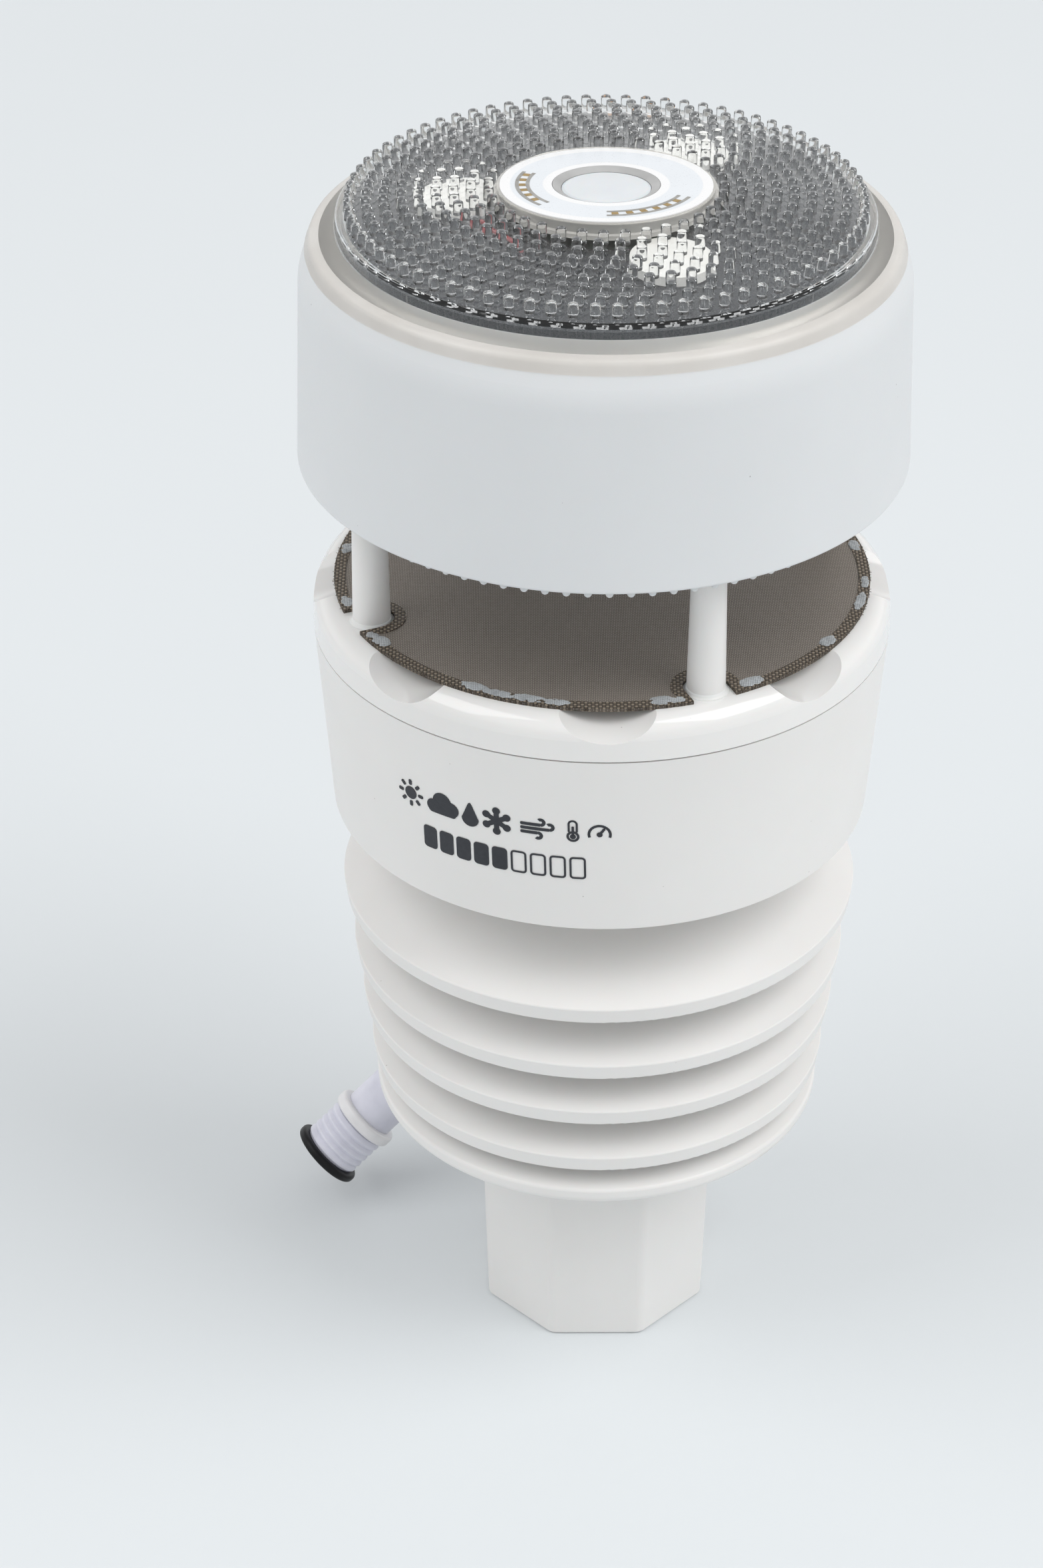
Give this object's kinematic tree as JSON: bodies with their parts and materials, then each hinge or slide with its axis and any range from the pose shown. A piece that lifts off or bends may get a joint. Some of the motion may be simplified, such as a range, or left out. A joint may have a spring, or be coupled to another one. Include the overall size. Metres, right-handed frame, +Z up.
{
  "type": "weather sensor",
  "caption": "Compact pole-mount weather sensor: studded clear rain top on four posts over a wire-mesh wind deck, round housing, louvred shield and octagonal mast stub.",
  "frame": {"origin": "centre of the flat underside of the octagonal mast stub, at the height it stands on", "axes": "+Z up along the sensor's axis, -Y the front, with the pigtail at the back left and the battery door at the back right"},
  "size_m": [0.1313, 0.1238, 0.2724],
  "materials": {
    "head_white": "fine moulded satin",
    "ivory_gloss": "polished moulding",
    "ivory_satin": "fine moulded satin",
    "clear_cover": "clear polycarbonate",
    "solar_cell": "dark textured laminate",
    "cream_pad": "matt",
    "white_mask": "white solder mask",
    "grey_ring": "satin",
    "opal_diffuser": "opal",
    "wire_mesh": "woven stainless wire",
    "transducer_can": "satin",
    "grey_rubber": "moulded",
    "black_rubber": "moulded",
    "green_board": "solder mask",
    "copper_film": "polyimide film",
    "screw_steel": "bright",
    "battery_wrap": "printed sleeve",
    "contact_steel": "nickel plated",
    "capacitor_sleeve": "shrink sleeve",
    "radio_can_steel": "tinned",
    "filter_white": "sintered",
    "button_grey": "satin",
    "lens_clear": "clear lens",
    "nylon": "translucent nylon",
    "white_jacket": "cable jacket",
    "brass_pin": "plated"
  },
  "bodies": {
    "sensor": {"mast_stub": "ivory_satin", "battery_holder": "ivory_satin", "battery_1": "battery_wrap", "battery_2": "battery_wrap", "battery_contacts": "contact_steel", "bottom_plate": "ivory_satin", "louvre_1": "ivory_satin", "louvre_2": "ivory_satin", "louvre_3": "ivory_satin", "louvre_4": "ivory_satin", "tie_screws": "screw_steel", "wire_duct": "ivory_satin", "climate_sensor_board": "green_board", "climate_filter_cap": "filter_white", "status_light": "lens_clear", "button_board": "green_board", "main_housing": "ivory_satin", "main_board": "green_board", "board_screws": "screw_steel", "supercapacitor": "capacitor_sleeve", "radio_module": "radio_can_steel", "housing_seal": "grey_rubber", "deck_collar": "ivory_gloss", "transducer_mesh": "wire_mesh", "transducer_1": "transducer_can", "transducer_2": "transducer_can", "transducer_3": "transducer_can", "transducer_4": "transducer_can", "transducer_gaskets": "grey_rubber", "deck_heater": "copper_film", "post_1": "ivory_satin", "post_2": "ivory_satin", "post_3": "ivory_satin", "post_4": "ivory_satin", "head_base_plate": "head_white", "post_screws": "screw_steel", "head_shell": "head_white", "head_board": "green_board", "panel_carrier": "head_white", "solar_panel": "solar_cell", "rain_sensor_discs": "cream_pad", "cover_gasket": "grey_rubber", "rain_cover": "clear_cover", "puck_housing": "clear_cover", "rain_detector_board": "white_mask", "light_ring": "grey_ring", "light_diffuser": "opal_diffuser", "light_sensor_board": "green_board", "pigtail_cable": "white_jacket", "cable_gland": "ivory_satin", "connector_body": "nylon", "connector_ring": "nylon", "connector_seal": "black_rubber", "connector_boot": "white_jacket", "connector_pins": "brass_pin"},
    "battery_door": {"battery_door": "ivory_satin"},
    "door_latch": {"door_latch": "ivory_satin"},
    "calibrate_button": {"calibrate_button": "button_grey"},
    "reset_button": {"reset_button": "button_grey"}
  },
  "joints": [
    {"name": "battery_door_hinge", "type": "hinge", "parent": "sensor", "child": "battery_door", "pos_m": [0.01718, 0.01718, 0.0504], "axis": [0.7071, -0.7071, 0], "range_deg": [0, 85]},
    {"name": "door_latch_turn", "type": "hinge", "parent": "battery_door", "child": "door_latch", "pos_m": [0.01513, 0.01513, 0.0115], "axis": [0.7071, 0.7071, 0], "range_deg": [-90, 0]},
    {"name": "calibrate_button_press", "type": "slide", "parent": "sensor", "child": "calibrate_button", "axis": [0, 0, 1], "range_m": [0, 0.0008], "stiffness_N_per_m": 400, "springref_m": -0.0005},
    {"name": "reset_button_press", "type": "slide", "parent": "sensor", "child": "reset_button", "axis": [0, 0, 1], "range_m": [0, 0.0008], "stiffness_N_per_m": 400, "springref_m": -0.0005}
  ]
}
